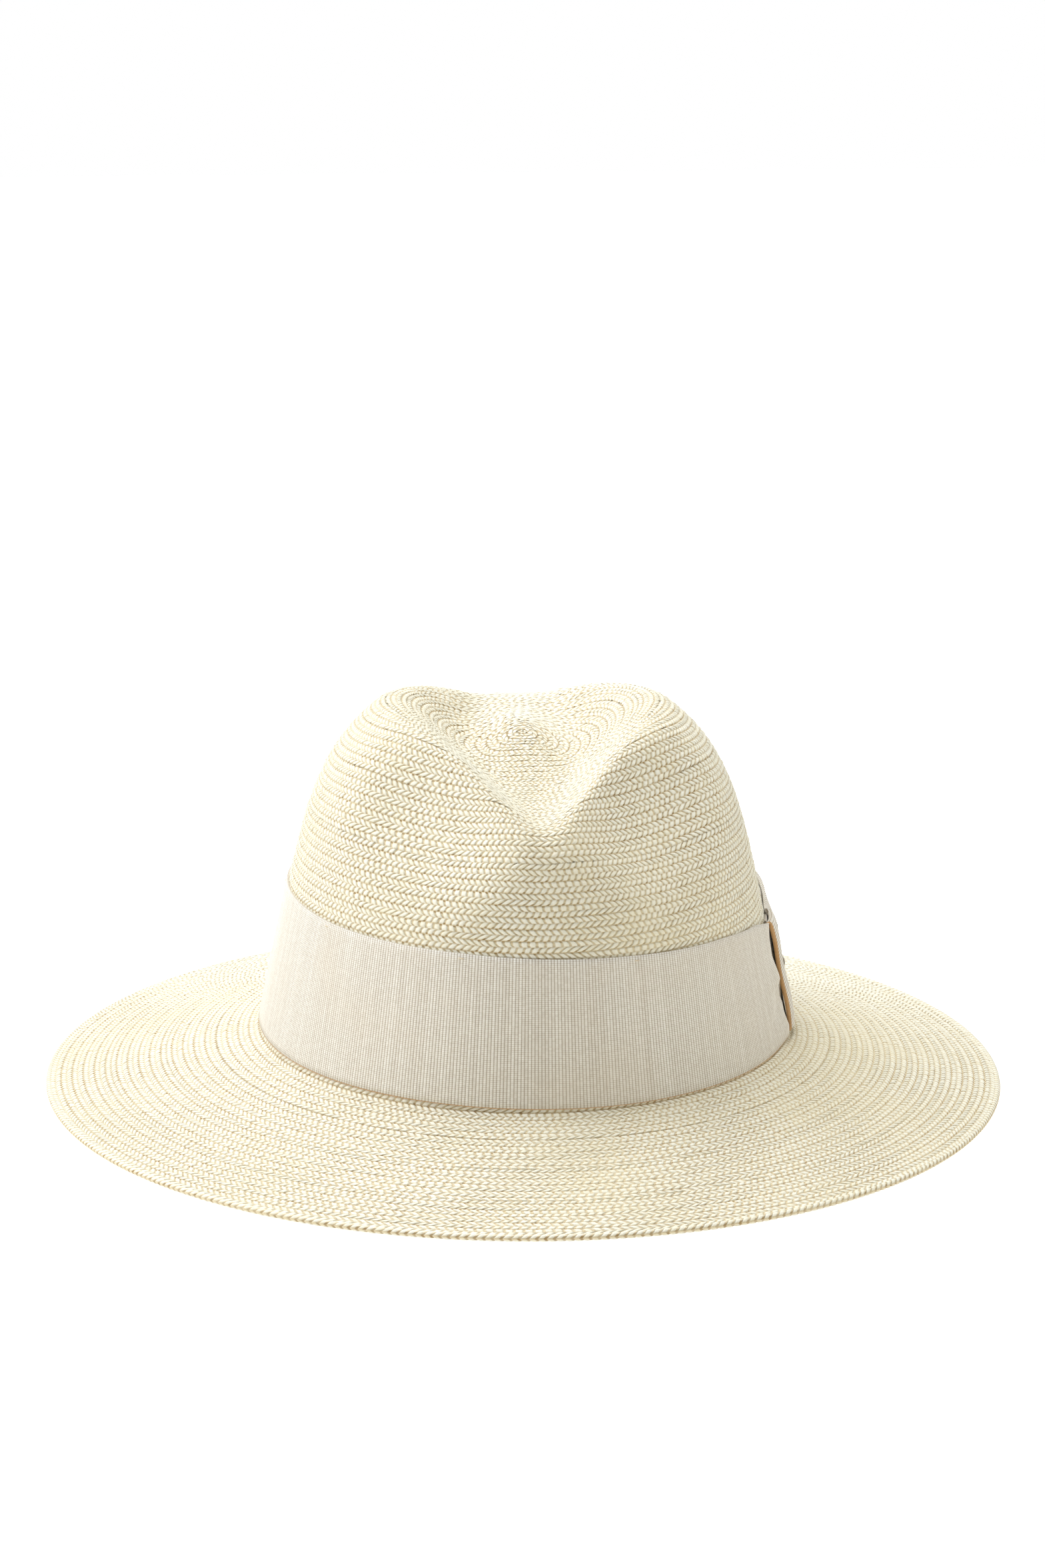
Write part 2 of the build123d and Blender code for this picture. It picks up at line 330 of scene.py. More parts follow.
def wovenZone(start, end, count, across, upRow, inside, seed):
    # grid of points for one zone, each straw a small pillow
    local = np.random.default_rng(seed)
    rows = start + np.arange((end - start) * upRow + 1) / upRow
    columns = np.arange(count * across)
    within = rows - np.floor(rows + 1e-9)
    slide = zigzag(rows + 1e-9)[:, None]
    stray = sum(np.sin(2 * math.pi * wave * columns / len(columns) + wave * 1.7 + rows[:, None] * 0.21 * wave)
                for wave in (5, 9, 14)) / 3
    turns = (columns / across + slide + stray * weave["wander"]) / count
    points = strawPoint(levelAt(rows[:, None], turns), turns)
    normals = gridNormals(points)
    rowSpace = np.linalg.norm(np.gradient(points, axis=0), axis=-1) * upRow / weave["row"]
    cells = np.minimum(np.floor(rows + 1e-9).astype(int) - start, end - start - 1)
    heights = local.normal(1, weave["uneven"], (end - start, count)).clip(0.5, 1.5)
    # every second row is set over by half a straw
    setOver = (np.floor(rows + 1e-9).astype(int) % 2 * (across // 2))[:, None]
    strawColumns = (columns[None, :] + setOver) % len(columns)
    pillow = heights[cells[:, None], strawColumns // across]
    pillow = pillow * np.where(strawColumns % across == 0, 0.0, 1.0)
    pillow = pillow * np.where(within < 1e-6, weave["endHeight"], 1.0)[:, None]
    calm = np.clip((lastRow - rows) / weave["calmRows"], 0.3, 1)[:, None]
    pillow = pillow * weave["relief"] * np.clip(rowSpace, 0.1, 1) * calm
    if inside:
        offset = -hatShape["strawThickness"] - pillow + weave["relief"]
    else:
        offset = pillow - weave["relief"] * 0.6
    return rows, columns, turns, points + normals * offset[..., None]


def zipRings(lowerTurns, upperTurns):
    # triangles between two rings with different numbers of straws, as (ring, index) corners
    lowerSize, upperSize = len(lowerTurns), len(upperTurns)
    lowerAll = np.concatenate([lowerTurns, lowerTurns[:1] + 1])
    upperAll = np.concatenate([upperTurns, upperTurns[:1] + 1])
    i = j = 0
    corners = []
    while i < lowerSize or j < upperSize:
        if j >= upperSize or (i < lowerSize and lowerAll[i + 1] < upperAll[j + 1]):
            corners.append(((0, i), (0, i + 1), (1, j)))
            i += 1
        else:
            corners.append(((0, i), (1, j + 1), (1, j)))
            j += 1
    return np.array(corners), lowerAll, upperAll


def wovenStraw(firstRow, endRow, parts, across, upRow, material, inside=False):
    # parts: (name, first row, across, upRow) with rising rows; builds each as its own piece
    cuts = sorted({row for _, row in parts[1:]})
    zones = []
    for start, end, count in weaveZones(firstRow, endRow):
        edges = [start] + [row for row in cuts if start < row < end] + [end]
        zones += [(a, b, count) for a, b in zip(edges[:-1], edges[1:])]
    verts, quads, maps, quadRows = [], [], [], []
    tris, triMaps, triRows = [np.zeros((0, 3), int)], [np.zeros((0, 3, 2))], [np.zeros(0)]
    base, last = 0, None
    for number, (start, end, count) in enumerate(zones):
        rows, columns, turns, points = wovenZone(start, end, count, across, upRow, inside, 1000 + start)
        shape = points.shape[:2]
        grid = base + np.arange(shape[0] * shape[1]).reshape(shape)
        if last is not None and last[2] == count:
            grid[0] = last[0]                     # the zone goes on from the one below
        elif last is not None:
            corners, lowerAll, upperAll = zipRings(last[1], turns[0])
            lowerRing = np.concatenate([last[0], last[0][:1]])
            upperRing = np.concatenate([grid[0], grid[0][:1]])
            ringOf = corners[..., 0] == 0
            index = corners[..., 1]
            lowIndex = np.minimum(index, len(lowerRing) - 1)
            highIndex = np.minimum(index, len(upperRing) - 1)
            tris.append(np.where(ringOf, lowerRing[lowIndex], upperRing[highIndex]))
            at = np.where(ringOf, lowerAll[lowIndex], upperAll[highIndex]) * count
            triMaps.append(np.stack([at, np.full_like(at, start + 0.01)], axis=-1))
            triRows.append(np.full(len(corners), start))
        right = np.roll(grid, -1, axis=1)
        quads.append(np.stack([grid[:-1], right[:-1], right[1:], grid[1:]], axis=-1).reshape(-1, 4))
        here, there = columns / across, (columns + 1) / across
        low, high = rows[:-1, None] + 0 * here, rows[1:, None] + 0 * here
        setOver = np.floor(low + 1e-9) % 2 * 0.5
        here, there = here + setOver, there + setOver
        maps.append(faceMap(here, there, low, high))
        quadRows.append(np.repeat(rows[:-1], shape[1]))
        verts.append(points.reshape(-1, 3))
        last = (grid[-1], turns[-1], count)
        base += shape[0] * shape[1]
    verts = np.concatenate(verts + [strawPoint(np.array([crownLength - 1e-6]), np.array([0.0]))])
    if endRow == lastRow:                         # close the middle of the crown
        ring = last[0]
        fan = np.stack([ring, np.roll(ring, -1), np.full_like(ring, base)], axis=-1)
        tris.append(fan)
        triMaps.append(np.zeros((len(fan), 3, 2)) + [0.5, endRow + 0.5])
        triRows.append(np.full(len(fan), endRow - 1))
    quads, maps, quadRows = np.concatenate(quads), np.concatenate(maps), np.concatenate(quadRows)
    tris, triMaps, triRows = np.concatenate(tris), np.concatenate(triMaps), np.concatenate(triRows)
    if inside:
        quads, maps, tris, triMaps = quads[:, ::-1], maps[:, ::-1], tris[:, ::-1], triMaps[:, ::-1]
    made = []
    bounds = [row for _, row in parts[1:]] + [endRow + 1]
    for (name, row), end in zip(parts, bounds):
        inQuads = (quadRows >= row) & (quadRows < end)
        inTris = (triRows >= row) & (triRows < end)
        made.append(makePiece(name, verts, quads[inQuads], maps[inQuads].reshape(-1, 2),
                              tris[inTris], triMaps[inTris], material))
        print(name, int(inQuads.sum()) * 2 + int(inTris.sum()), "triangles")
    return made


def addNode(tree, kind, inputs=None, **settings):
    node = tree.nodes.new(kind)
    for key, value in settings.items():
        setattr(node, key, value)
    for key, value in (inputs or {}).items():
        if isinstance(value, bpy.types.NodeSocket):
            tree.links.new(value, node.inputs[key])
        else:
            node.inputs[key].default_value = value
    return node


def mathNode(tree, operation, a, b=0.0, c=0.0, clamp=False):
    node = addNode(tree, "ShaderNodeMath", {0: a, 1: b, 2: c}, operation=operation, use_clamp=clamp)
    return node.outputs[0]


def times(tree, a, b):
    return mathNode(tree, "MULTIPLY", a, b)


def smoothStep(tree, value, low, high):
    return addNode(tree, "ShaderNodeMapRange", {"Value": value, "From Min": low, "From Max": high},
                   interpolation_type="SMOOTHSTEP").outputs["Result"]


def offWhole(tree, value):
    # distance to the nearest whole number
    return mathNode(tree, "ABSOLUTE", mathNode(tree, "SUBTRACT", value, mathNode(tree, "ROUND", value)))


def vectorNode(tree, x, y, z=0.0):
    return addNode(tree, "ShaderNodeCombineXYZ", {0: x, 1: y, 2: z}).outputs[0]


def chanceAt(tree, vector):
    return addNode(tree, "ShaderNodeTexWhiteNoise", {"Vector": vector}).outputs["Value"]


def noiseNode(tree, vector, scale, detail):
    node = addNode(tree, "ShaderNodeTexNoise", {"Vector": vector, "Scale": scale, "Detail": detail})
    return node.outputs["Fac"]


def mixColours(tree, factor, a, b, blend="MIX"):
    node = addNode(tree, "ShaderNodeMix", data_type="RGBA", blend_type=blend)
    for key, value in ((0, factor), (6, a), (7, b)):
        if isinstance(value, bpy.types.NodeSocket):
            tree.links.new(value, node.inputs[key])
        else:
            node.inputs[key].default_value = value
    return node.outputs[2]


def newGroup(name, inputs, outputs):
    group = bpy.data.node_groups.new(name, "ShaderNodeTree")
    for label, kind, value in inputs:
        socket = group.interface.new_socket(label, in_out="INPUT", socket_type="NodeSocket" + kind)
        if value is not None:
            socket.default_value = value
    for label, kind in outputs:
        group.interface.new_socket(label, in_out="OUTPUT", socket_type="NodeSocket" + kind)
    return group, addNode(group, "NodeGroupInput").outputs, addNode(group, "NodeGroupOutput").inputs


def buildWeaveGroup():
    # map: x counts straws round the hat, y counts rows
    tree, given, out = newGroup(
        "strawWeave",
        [("Map", "Vector", None), ("Light", "Color", (0.90, 0.85, 0.70, 1)),
         ("Dark", "Color", (0.80, 0.70, 0.50, 1)), ("Edge", "Color", (0.60, 0.45, 0.25, 1)),
         ("Gap", "Color", (0.36, 0.22, 0.09, 1)), ("Edge Strength", "Float", 0.6),
         ("Gap Strength", "Float", 0.8)],
        [("Colour", "Color"), ("Height", "Float"), ("Roughness", "Float")])
    parts = addNode(tree, "ShaderNodeSeparateXYZ", {0: given["Map"]})
    u, v = parts.outputs["X"], parts.outputs["Y"]
    roundU, roundV = mathNode(tree, "ROUND", u), mathNode(tree, "ROUND", v)
    chance = chanceAt(tree, vectorNode(tree, mathNode(tree, "FLOOR", u), mathNode(tree, "FLOOR", v), 3.7))
    cornerChance = chanceAt(tree, vectorNode(tree, roundU, roundV, 1.3))
    toSide, toEnd = offWhole(tree, u), offWhole(tree, v)
    # every second line of straw ends lies more open
    evenLine = smoothStep(tree, offWhole(tree, times(tree, roundV, 0.5)), 0.3, 0.2)
    openness = mathNode(tree, "MULTIPLY_ADD", evenLine, 0.45, 0.55)
    along = vectorNode(tree, times(tree, u, 9.0), times(tree, v, 1.4),
                       times(tree, chance, 37.0))
    fibre = noiseNode(tree, along, 1.0, 3.0)
    tone = mathNode(tree, "ADD", times(tree, mathNode(tree, "POWER", chance, 0.5), 0.8),
                    times(tree, fibre, 0.35), clamp=True)
    colour = mixColours(tree, tone, given["Dark"], given["Light"])
    side = smoothStep(tree, toSide, 0.26, 0.04)
    end = times(tree, smoothStep(tree, toEnd, 0.24, 0.0), openness)
    edge = times(tree, mathNode(tree, "MAXIMUM", side, end), given["Edge Strength"])
    colour = mixColours(tree, edge, colour, given["Edge"])
    mark = times(tree, smoothStep(tree, toSide, 0.28, 0.10),
                    smoothStep(tree, toEnd, 0.42, 0.14))
    mark = times(tree, mark, mathNode(tree, "MULTIPLY_ADD", cornerChance, 0.75, 0.25))
    mark = times(tree, times(tree, mark, openness), given["Gap Strength"])
    colour = mixColours(tree, mark, colour, given["Gap"])
    tree.links.new(colour, out["Colour"])
    body = times(tree, mathNode(tree, "SUBTRACT", 1.0, side),
                    mathNode(tree, "SUBTRACT", 1.0, end))
    tree.links.new(mathNode(tree, "MULTIPLY_ADD", fibre, 0.25, body), out["Height"])
    tree.links.new(mathNode(tree, "MULTIPLY_ADD", fibre, 0.25, 0.42), out["Roughness"])
    return tree


def buildThreadsGroup():
    # map in metres: x along the ribbon, y across it
    tree, given, out = newGroup(
        "ribbonThreads",
        [("Map", "Vector", None), ("Light", "Color", (0.86, 0.82, 0.74, 1)),
         # Edge: colour of the painted shade along the ribbon's lower edge
         ("Shade", "Color", (0.70, 0.64, 0.54, 1)), ("Edge", "Color", (0.70, 0.42, 0.20, 1)),
         ("Rib Pitch", "Float", 0.0011), ("Thread Pitch", "Float", 0.00062)],
        [("Colour", "Color"), ("Height", "Float"), ("Roughness", "Float")])
    parts = addNode(tree, "ShaderNodeSeparateXYZ", {0: given["Map"]})
    ribAt = mathNode(tree, "DIVIDE", parts.outputs["X"], given["Rib Pitch"])
    threadAt = mathNode(tree, "DIVIDE", parts.outputs["Y"], given["Thread Pitch"])
    valley = smoothStep(tree, offWhole(tree, ribAt), 0.24, 0.0)
    thread = offWhole(tree, threadAt)
    rib = mathNode(tree, "FLOOR", ribAt)
    chance = chanceAt(tree, vectorNode(tree, rib, mathNode(tree, "FLOOR", threadAt)))
    ribChance = chanceAt(tree, vectorNode(tree, rib, 4.1))
    dim = times(tree, valley, 0.75)
    dim = mathNode(tree, "ADD", dim, times(tree, smoothStep(tree, thread, 0.26, 0.5), 0.42))
    dim = mathNode(tree, "ADD", dim, times(tree, chance, 0.16))
    dim = mathNode(tree, "ADD", dim, times(tree, ribChance, 0.14), clamp=True)
    colour = mixColours(tree, dim, given["Light"], given["Shade"])
    # painted shade: tan along the ribbon's lower edge, where y is near 0, standing for the shadow line under
    # the band and the shadowed slit by the knot
    paintedShadeEdge = smoothStep(tree, parts.outputs["Y"], 0.0003, 0.0001)
    tree.links.new(mixColours(tree, paintedShadeEdge, colour, given["Edge"]), out["Colour"])
    tree.links.new(mathNode(tree, "SUBTRACT", 1.0, dim), out["Height"])
    tree.links.new(mathNode(tree, "MULTIPLY_ADD", dim, 0.2, 0.5), out["Roughness"])
    return tree


def buildWearGroup():
    # soft soiling and fading over the whole hat
    tree, given, out = newGroup(
        "softWear",
        [("Colour", "Color", (1, 1, 1, 1)), ("Soiling", "Color", (0.62, 0.50, 0.36, 1)),
         ("Amount", "Float", 0.15), ("Scale", "Float", 22.0)],
        [("Colour", "Color"), ("Mask", "Float")])
    place = addNode(tree, "ShaderNodeTexCoord").outputs["Object"]
    mask = smoothStep(tree, noiseNode(tree, place, given["Scale"], 4.0), 0.42, 0.75)
    factor = times(tree, mask, given["Amount"])
    tree.links.new(mixColours(tree, factor, given["Colour"], given["Soiling"]), out["Colour"])
    tree.links.new(mask, out["Mask"])
    return tree


def buildGrainGroup():
    # fine leather grain with pores
    tree, given, out = newGroup(
        "leatherGrain",
        [("Light", "Color", (0.80, 0.68, 0.50, 1)), ("Shade", "Color", (0.60, 0.46, 0.30, 1)),
         ("Scale", "Float", 900.0)],
        [("Colour", "Color"), ("Height", "Float"), ("Roughness", "Float")])
    place = addNode(tree, "ShaderNodeTexCoord").outputs["Object"]
    pores = addNode(tree, "ShaderNodeTexVoronoi", {"Vector": place, "Scale": given["Scale"]}, feature="F1")
    cells = pores.outputs["Distance"]
    broad = noiseNode(tree, place, 60.0, 5.0)
    tone = mathNode(tree, "MULTIPLY_ADD", cells, 0.5, times(tree, broad, 0.5), clamp=True)
    tree.links.new(mixColours(tree, tone, given["Light"], given["Shade"]), out["Colour"])
    tree.links.new(mathNode(tree, "SUBTRACT", 1.0, cells), out["Height"])
    tree.links.new(mathNode(tree, "MULTIPLY_ADD", broad, 0.25, 0.35), out["Roughness"])
    return tree


weaveGroup, threadsGroup, wearGroup, grainGroup = (
    buildWeaveGroup(), buildThreadsGroup(), buildWearGroup(), buildGrainGroup())


def newMaterial(name, settings):
    material = bpy.data.materials.new(name)
    material.use_nodes = True
    shader = material.node_tree.nodes["Principled BSDF"]
    for key, value in settings.items():
        shader.inputs[key].default_value = value
    return material, material.node_tree, shader


def finishedMaterial(name, group, finish):
    # a pattern group, soiled by the wear group, on a principled shader
    material, tree, shader = newMaterial(name, finish["shader"])
    pattern = addNode(tree, "ShaderNodeGroup", {}, node_tree=group)
    if "Map" in pattern.inputs:
        position = addNode(tree, "ShaderNodeUVMap", uv_map="maker")
        tree.links.new(position.outputs[0], pattern.inputs["Map"])
    worn = addNode(tree, "ShaderNodeGroup", {}, node_tree=wearGroup)
    for node, values in ((pattern, finish["pattern"]), (worn, finish["wear"])):
        for key, value in values.items():
            node.inputs[key].default_value = value
    tree.links.new(pattern.outputs["Colour"], worn.inputs["Colour"])
    tree.links.new(worn.outputs["Colour"], shader.inputs["Base Color"])
    tree.links.new(pattern.outputs["Roughness"], shader.inputs["Roughness"])
    bump = addNode(tree, "ShaderNodeBump", {"Height": pattern.outputs["Height"], "Distance": finish["bump"],
                                            "Strength": 1.0})
    tree.links.new(bump.outputs[0], shader.inputs["Normal"])
    return material


strawFinish = {
    "shader": {"Specular IOR Level": 0.35, "Sheen Weight": 0.10, "Sheen Roughness": 0.5},
    "pattern": {"Light": (0.95, 0.945, 0.86, 1), "Dark": (0.91, 0.875, 0.72, 1),
                "Edge": (0.66, 0.51, 0.25, 1), "Gap": (0.36, 0.22, 0.07, 1),
                "Edge Strength": 0.66, "Gap Strength": 0.95},
    "wear": {"Soiling": (0.87, 0.79, 0.56, 1), "Amount": 0.35, "Scale": 14.0},
    "bump": 0.00022,
}
straw = finishedMaterial("bleachedStraw", weaveGroup, strawFinish)

ribbonFinish = {
    "shader": {"Specular IOR Level": 0.25, "Sheen Weight": 0.25, "Sheen Roughness": 0.4},
    "pattern": {"Light": (0.965, 0.955, 0.92, 1), "Shade": (0.48, 0.41, 0.33, 1)},
    "wear": {"Soiling": (0.78, 0.68, 0.55, 1), "Amount": 0.2, "Scale": 30.0},
    "bump": 0.00008,
}
ribbonCloth = finishedMaterial("ivoryRibbon", threadsGroup, ribbonFinish)

leatherFinish = {
    "shader": {"Specular IOR Level": 0.4, "Coat Weight": 0.08, "Coat Roughness": 0.4},
    "pattern": {"Light": (0.84, 0.74, 0.58, 1), "Shade": (0.66, 0.52, 0.36, 1), "Scale": 1100.0},
    "wear": {"Soiling": (0.50, 0.36, 0.22, 1), "Amount": 0.25, "Scale": 26.0},
    "bump": 0.00005,
}
leather = finishedMaterial("tanLeather", grainGroup, leatherFinish)

threadFinish = {
    "shader": {"Specular IOR Level": 0.3, "Sheen Weight": 0.3},
    "pattern": {"Light": (0.90, 0.84, 0.72, 1), "Shade": (0.66, 0.55, 0.40, 1), "Scale": 3000.0},
    "wear": {"Soiling": (0.60, 0.48, 0.34, 1), "Amount": 0.3, "Scale": 80.0},
    "bump": 0.00003,
}
sewingThread = finishedMaterial("creamThread", grainGroup, threadFinish)
print("materials made")

# each stretch starts at its row; the one under the ribbon is out of sight and has coarser faces
brimStretches = [("brimOuter", rimRow), ("brimMiddle", -27), ("brimInner", -13)]
crownStretches = [("crownLower", 19), ("crownSide", 45), ("crownTop", 62)]
strawPieces = wovenStraw(rimRow, 2, brimStretches, 4, 3, straw)
strawPieces += wovenStraw(2, 19, [("crownUnderRibbon", 2)], 1, 1, straw)
strawPieces += wovenStraw(19, lastRow, crownStretches, 4, 3, straw)
strawPieces += wovenStraw(rimRow, 0, [("brimUnderside", rimRow)], 2, 2, straw, inside=True)
strawPieces += wovenStraw(0, lastRow, [("crownInside", 0)], 2, 2, straw, inside=True)

rimBraid = {
    "strands": 430,
    "radius": 0.00117,
    "relief": 0.00028,
    "across": 4,         # faces for one strand
    "round": 16,         # faces round the braid
    "slant": 1.0,        # strands that one strand leans over from top to bottom
    "inset": 0.0002,     # keeps the strands inside the straw's own rim
    "lift": 0.00008,
}


def rimRing():
    braid = rimBraid
    columns = np.arange(braid["strands"] * braid["across"])
    spins = np.arange(braid["round"]) / braid["round"]
    half = np.where(spins < 0.5, spins * 2, 2 - spins * 2)
    turns = (columns[None, :] / braid["across"] + half[:, None] * braid["slant"]) / braid["strands"]
    angle = angleAt(turns)
    normalX, normalY = outFromWall(angle)
    phase = (columns[None, :] % braid["across"]) / braid["across"] + 0 * half[:, None]
    bump = np.sqrt(np.clip(np.sin(phase * math.pi), 0, 1)) - 0.6
    radius = braid["radius"] + braid["relief"] * bump - braid["inset"]
    spin = spins[:, None] * 2 * math.pi
    out = hatShape["brimWidth"] - braid["radius"] + radius * np.cos(spin)
    x = wallA * np.cos(angle) + normalX * out
    y = wallB * np.sin(angle) + normalY * out
    z = rimZ + braid["lift"] + radius * np.sin(spin)
    points = np.stack([x, y, np.maximum(z, 0)], axis=-1)
    grid = np.arange(points.shape[0] * points.shape[1]).reshape(points.shape[:2])
    right, above = np.roll(grid, -1, axis=1), np.roll(grid, -1, axis=0)
    quads = np.stack([grid, right, np.roll(right, -1, axis=0), above], axis=-1).reshape(-1, 4)
    here = columns[None, :] / braid["across"] + 0 * half[:, None]
    there = here + 1 / braid["across"]
    low = np.arange(braid["round"])[:, None] / 8 + 0 * here + 0.0
    high = low + 1 / 8
    quadMap = faceMap(here, there, low, high)[:, ::-1]
    return makePiece("rimBraid", points.reshape(-1, 3), quads[:, ::-1], quadMap.reshape(-1, 2),
                     material=straw)


strawPieces.append(rimRing())
for piece in strawPieces:
    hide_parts("straw_body")
print("straw woven")

ribbon = {
    "width": 0.048,
    "thickness": 0.0006,
    "clearance": 0.00015,
    "ribPitch": 0.0011,
    "ribRelief": 0.00011,
    "rows": 24,            # faces across the ribbon
    "ribFaces": 3,         # faces along one rib
}


def clothShell(name, smooth, relief, thickness, mapped, innerStride, material):
    # smooth: rows across by columns along; a closed thin shell with ribs on its outer side
    normals = gridNormals(smooth, closed=False)
    outer = smooth + normals * relief[..., None]
    kept = np.arange(0, smooth.shape[0], innerStride)
    inner = (smooth - normals * thickness)[kept]
    rows, columns = smooth.shape[:2]
    top = np.arange(rows * columns).reshape(rows, columns)
    under = rows * columns + np.arange(len(kept) * columns).reshape(len(kept), columns)
    underMap = mapped[kept]
    grids = [top, under[:, ::-1], np.stack([under[0], top[0]]), np.stack([top[-1], under[-1]])]
    gridMaps = [mapped, underMap[:, ::-1], np.stack([underMap[0], mapped[0]]),
                np.stack([mapped[-1], underMap[-1]])]
    quads = np.concatenate([gridCells(grid).reshape(-1, 4) for grid in grids])
    quadMap = np.concatenate([gridCells(gridMap).reshape(-1, 4, 2) for gridMap in gridMaps])
    tris, triMap = [], []
    for column, turned in ((0, False), (columns - 1, True)):
        for k in range(rows - 1):
            m = k // innerStride
            made = [((top, k), (top, k + 1), (under, m))]
            if (k + 1) % innerStride == 0:
                made.append(((top, k + 1), (under, m + 1), (under, m)))
            for face in made:
                face = face if turned else face[::-1]
                tris.append([grid[row, column] for grid, row in face])
                triMap.append([(mapped if grid is top else underMap)[row, column] for grid, row in face])
    verts = np.concatenate([outer.reshape(-1, 3), inner.reshape(-1, 3)])
    return makePiece(name, verts, quads, quadMap.reshape(-1, 2), np.array(tris), np.array(triMap),
                     material)


def ribRelief(columns, rows):
    # ribs stand across the ribbon
    phase = (np.arange(columns) % ribbon["ribFaces"]) / ribbon["ribFaces"]
    return np.where(phase == 0, 0.0, 1.0)[None, :] * ribbon["ribRelief"] + np.zeros((rows, 1))


def ribsAlong(path):
    # even steps along a path, a whole number of ribs in all; with the path's two values at each step
    steps = np.concatenate([[0], np.cumsum(np.hypot(*np.diff(path, axis=0).T))])
    columns = round(steps[-1] / ribbon["ribPitch"]) * ribbon["ribFaces"] + 1
    at = np.linspace(0, steps[-1], columns)
    return at, np.interp(at, steps, path[:, 0]), np.interp(at, steps, path[:, 1])


def wallPoint(height, turn, out):
    # a point standing off the crown's wall, before any dents
    angle = angleAt(turn)
    a, b, middle = crownOval(height)
    lean = 0.001
    upperA, upperB, upperMiddle = crownOval(height + lean)
    x, y = a * np.cos(angle), middle + b * np.sin(angle)
    slopeX = (upperA * np.cos(angle) - x) / lean
    slopeY = (upperMiddle + upperB * np.sin(angle) - y) / lean
    normalX, normalY = outFromWall(angle)
    tilt = -(slopeX * normalX + slopeY * normalY)
    full = np.sqrt(1 + tilt ** 2)
    return np.stack([x + normalX / full * out, y + normalY / full * out,
                     breakZ + height + tilt / full * out], axis=-1)


def turnAtSide(y):
    # turn of the point on the bow's side of the crown with this y
    return math.copysign(float(np.interp(abs(math.asin(y / wallB)), ovalAngles, ovalTurns)), y)


bandEnd = {
    "y": -0.0252,          # where the ribbon's free end stands, in front of the knot
    "gap": 0.005,          # from there to its other end, under the knot
    "reach": 0.009,        # length over which the free end lifts off
    "lift": [0.0010, 0.0015, 0.0007, 0.0006, -0.0002, 0.0006, 0.0016, 0.0013, 0.0003, 0.0006, 0.0013],
    "liftAt": [0, 0.08, 0.20, 0.32, 0.40, 0.43, 0.48, 0.56, 0.70, 0.88, 1.0],   # from bottom to top
    # heights of the ribbon's edges above the break, at these turns
    "turns": [0, 0.08, 0.2, 0.5, 0.70, 0.80, 0.88, 0.93, 0.96, 1.0],
    "top": [0.0440, 0.0455, 0.0485, 0.0500, 0.0498, 0.0478, 0.0454, 0.0425, 0.0385, 0.0380],
    "bottom": [0.0010, 0.0012, 0.0018, 0.0022, 0.0018, 0.0010, 0.0008, 0.0008, 0.0010, 0.0010],
    "creaseFrom": 0.42,    # a soft crease runs down and forward from the pinch
    "creaseSlope": 14,
    "creaseWidth": 0.05,
    "creaseDepth": 0.0012,
    "creaseReach": 0.016,
    "slack": 0.0002,       # slow waves where the ribbon stands off the straw
}


def buildBand():
    endTurn = turnAtSide(bandEnd["y"])
    length = ovalLength - bandEnd["gap"]
    ribs = round(length / ribbon["ribPitch"])
    columns = ribs * ribbon["ribFaces"] + 1
    share = np.linspace(0, 1, columns)[None, :]
    turns = endTurn - length / ovalLength * share
    across = np.linspace(0, 1, ribbon["rows"] + 1)[:, None]
    fromEnd = share * length
    nearEnd = bell(fromEnd, bandEnd["reach"])
    lift = np.interp(across, bandEnd["liftAt"], bandEnd["lift"]) * nearEnd
    crease = across - bandEnd["creaseFrom"] + fromEnd * bandEnd["creaseSlope"]
    fold = bandEnd["creaseDepth"] * bell(crease, bandEnd["creaseWidth"]) * bell(fromEnd, bandEnd["creaseReach"])
    waves = np.sin(fromEnd * 90 + across * 2) + np.sin(fromEnd * 47 + 1.1 - across * 3)
    slack = bandEnd["slack"] * waves * 0.5
    out = ribbon["clearance"] + ribbon["thickness"] + lift - fold + np.clip(slack, 0, None)
    out = np.maximum(out, ribbon["clearance"] + ribbon["thickness"] * 0.9)
    place = turns - np.floor(turns)
    lowEdge = np.interp(place, bandEnd["turns"], bandEnd["bottom"])
    highEdge = np.interp(place, bandEnd["turns"], bandEnd["top"])
    height = lowEdge + across * (highEdge - lowEdge)
    smooth = wallPoint(height, turns + 0 * across, out)
    relief = ribRelief(columns, len(across))
    # the band's lower edge maps to y 0, where the ribbon group paints a line of shade
    mapped = np.stack([fromEnd * (ribs * ribbon["ribPitch"] / length) + 0 * across,
                       across * ribbon["width"] + 0 * share], axis=-1)
    band = clothShell("hatBand", smooth[:, ::-1], relief, ribbon["thickness"], mapped[:, ::-1], 6,
                      ribbonCloth)
    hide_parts("hat_band")


buildBand()
print("band laid")

knot = {
    "thickness": 0.0013,
    "outsideOffset": 0.0028,
    "insideOffset": 0.0010,
    "bulge": 0.0004,
    "ripple": 0.0003,
    "crown": 0.0005,       # how far its middle stands above its edges
    "inset": 0.0006,       # at its top and bottom
    "lower": 0.0035,       # its top, below the space it has
    "waist": 0.10,         # share by which the knot draws in at its middle
    "waistReach": 0.016,
    "rows": 12,
}


